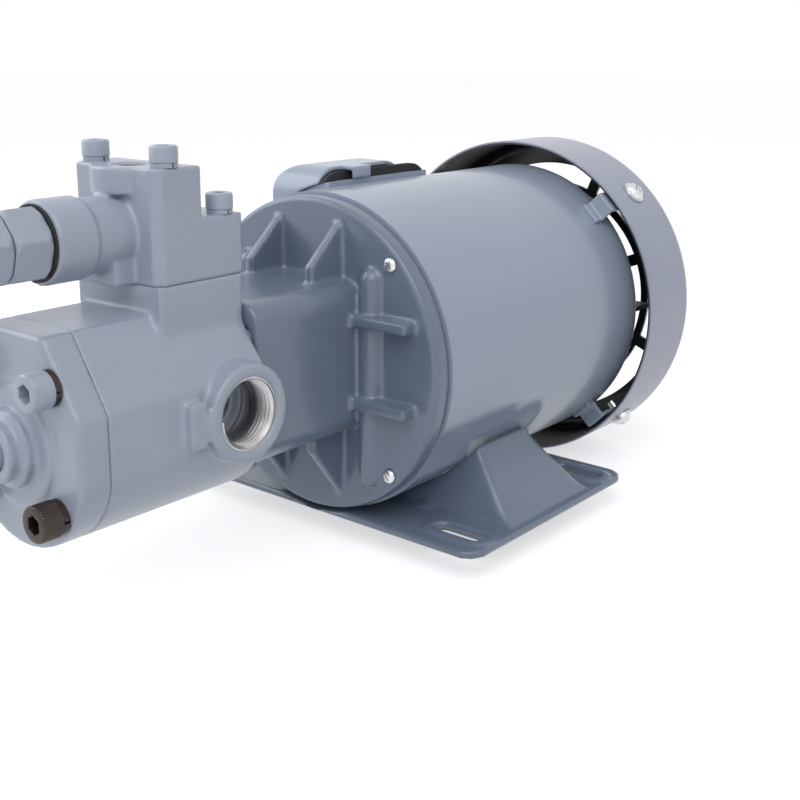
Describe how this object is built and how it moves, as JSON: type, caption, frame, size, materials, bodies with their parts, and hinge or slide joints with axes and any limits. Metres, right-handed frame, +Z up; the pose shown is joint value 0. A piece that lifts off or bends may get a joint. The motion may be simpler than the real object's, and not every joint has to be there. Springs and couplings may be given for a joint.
{
  "type": "coolant pump",
  "caption": "Rotor pump for coolant or oil, coupled to a fan-cooled motor on a pressed foot, with an adjustable relief valve on top and side ports.",
  "frame": {"origin": "middle of the four foot slots, in the plane of the foot's underside", "axes": "+Z up out of the foot, +Y along the shaft from the pump towards the fan, +X across, towards the side of the port that is seen"},
  "size_m": [0.176, 0.3665, 0.1783],
  "materials": {
    "pump_paint": "grey-lavender enamel sprayed over cast iron, satin",
    "bracket_paint": "blue-grey gloss enamel, lightly orange-peeled",
    "shell_paint": "pale blue-grey gloss enamel on drawn steel",
    "cover_paint": "pale blue-grey gloss enamel on pressed steel",
    "zinc_steel": "bright zinc plate",
    "dark_steel": "black oxide with a film of oil",
    "ground_steel": "ground and hardened",
    "electrical_steel": "stacked laminations",
    "copper": "enamelled copper",
    "bronze": "sintered bronze",
    "cast_aluminium": "die cast",
    "black_plastic": "moulded, fine texture",
    "rubber": "moulded nitrile"
  },
  "bodies": {
    "pump_frame": {"mounting_foot": "bracket_paint", "motor_shell": "shell_paint", "front_bracket": "bracket_paint", "rear_bearing_housing": "cast_aluminium", "stator_core": "electrical_steel", "stator_windings": "copper", "front_bearing_outer_ring": "ground_steel", "rear_bearing_outer_ring": "ground_steel", "wave_washer": "ground_steel", "fan_cover": "cover_paint", "fan_cover_brackets": "bracket_paint", "fan_cover_screws": "zinc_steel", "fan_cover_washers": "zinc_steel", "bracket_screws": "zinc_steel", "terminal_box_base": "shell_paint", "terminal_box_lid": "shell_paint", "terminal_box_gasket": "rubber", "terminal_block": "black_plastic", "terminal_studs": "bronze", "terminal_box_screws": "zinc_steel", "cable_grommet": "rubber", "pump_body": "pump_paint", "pump_cover": "pump_paint", "cover_screws": "dark_steel", "cover_spring_washers": "dark_steel", "cover_oring": "rubber", "body_bush": "bronze", "cover_bush": "bronze", "oil_seal": "rubber", "cover_plug": "pump_paint", "valve_body": "pump_paint", "valve_screws": "pump_paint", "valve_spring_washers": "pump_paint", "valve_seals": "rubber", "lock_nut": "zinc_steel", "valve_bonnet": "pump_paint", "bonnet_seal": "rubber", "cap_nut": "pump_paint"},
    "drive_line": {"rotor_core": "electrical_steel", "rotor_end_rings": "cast_aluminium", "motor_shaft": "ground_steel", "front_bearing_inner_ring": "ground_steel", "rear_bearing_inner_ring": "ground_steel", "cooling_fan": "black_plastic", "fan_clip": "ground_steel", "inner_rotor": "ground_steel", "rotor_key": "ground_steel", "pump_shaft": "ground_steel", "coupling_sleeve": "dark_steel", "coupling_key": "ground_steel"},
    "outer_gear": {"outer_rotor": "ground_steel"},
    "front_ball_set": {"front_bearing_balls": "ground_steel"},
    "rear_ball_set": {"rear_bearing_balls": "ground_steel"},
    "relief_piston": {"valve_piston": "ground_steel"},
    "seat_slider": {"spring_seat": "ground_steel", "valve_spring": "ground_steel"},
    "pressure_screw": {"adjusting_screw": "zinc_steel"}
  },
  "joints": [
    {"name": "shaft_spin", "type": "hinge", "parent": "pump_frame", "child": "drive_line", "pos_m": [0, 0, 0.071], "axis": [0, 1, 0], "continuous": true},
    {"name": "outer_gear_spin", "type": "hinge", "parent": "pump_frame", "child": "outer_gear", "pos_m": [0, 0, 0.0685], "axis": [0, 1, 0], "continuous": true},
    {"name": "front_balls_spin", "type": "hinge", "parent": "pump_frame", "child": "front_ball_set", "pos_m": [0, 0, 0.071], "axis": [0, 1, 0], "continuous": true},
    {"name": "rear_balls_spin", "type": "hinge", "parent": "pump_frame", "child": "rear_ball_set", "pos_m": [0, 0, 0.071], "axis": [0, 1, 0], "continuous": true},
    {"name": "relief_lift", "type": "slide", "parent": "pump_frame", "child": "relief_piston", "axis": [0, -1, 0], "range_m": [0, 0.005], "stiffness_N_per_m": 6000, "deforming": ["valve_spring"]},
    {"name": "seat_slide", "type": "slide", "parent": "pump_frame", "child": "seat_slider", "axis": [0, 1, 0], "range_m": [-0.002, 0.002]},
    {"name": "pressure_screw_turn", "type": "hinge", "parent": "seat_slider", "child": "pressure_screw", "pos_m": [0, 0, 0.1365], "axis": [0, 1, 0], "range_deg": [-577, 577]}
  ],
  "couplings": [
    {"joint": "outer_gear_spin", "follows": "shaft_spin", "ratio": 0.8},
    {"joint": "front_balls_spin", "follows": "shaft_spin", "ratio": 0.375},
    {"joint": "rear_balls_spin", "follows": "shaft_spin", "ratio": 0.376},
    {"joint": "pressure_screw_turn", "follows": "seat_slide", "rad_per_m": 5026.5}
  ]
}
